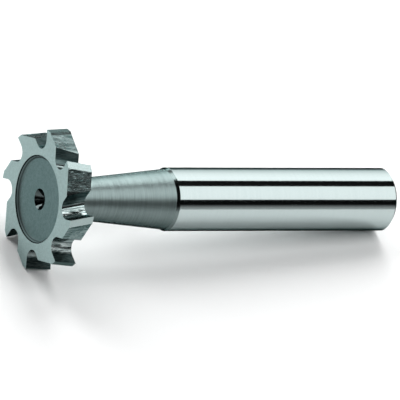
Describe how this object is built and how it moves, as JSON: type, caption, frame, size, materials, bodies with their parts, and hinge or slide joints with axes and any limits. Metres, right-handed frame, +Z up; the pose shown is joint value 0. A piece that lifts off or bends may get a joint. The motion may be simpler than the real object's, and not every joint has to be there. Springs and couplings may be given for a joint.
{
  "type": "keyseat cutter",
  "caption": "Straight-shank keyseat milling cutter: a thin staggered-tooth disc on a tapered neck, for cutting half-moon key slots.",
  "frame": {"origin": "on the floor under the middle of the bounding box, the cutter lying on two neighbouring teeth and the far edge of its shank", "axes": "+X towards the shank end, along the tool but for the 5.3 degrees by which the shank dips, +Z up; the disc is at -X"},
  "size_m": [0.0642, 0.0214, 0.0214],
  "materials": {
    "high_speed_steel": "ground shank, turned neck, ground tooth lands"
  },
  "bodies": {
    "root": {"keyseat_cutter": "high_speed_steel"}
  },
  "joints": []
}
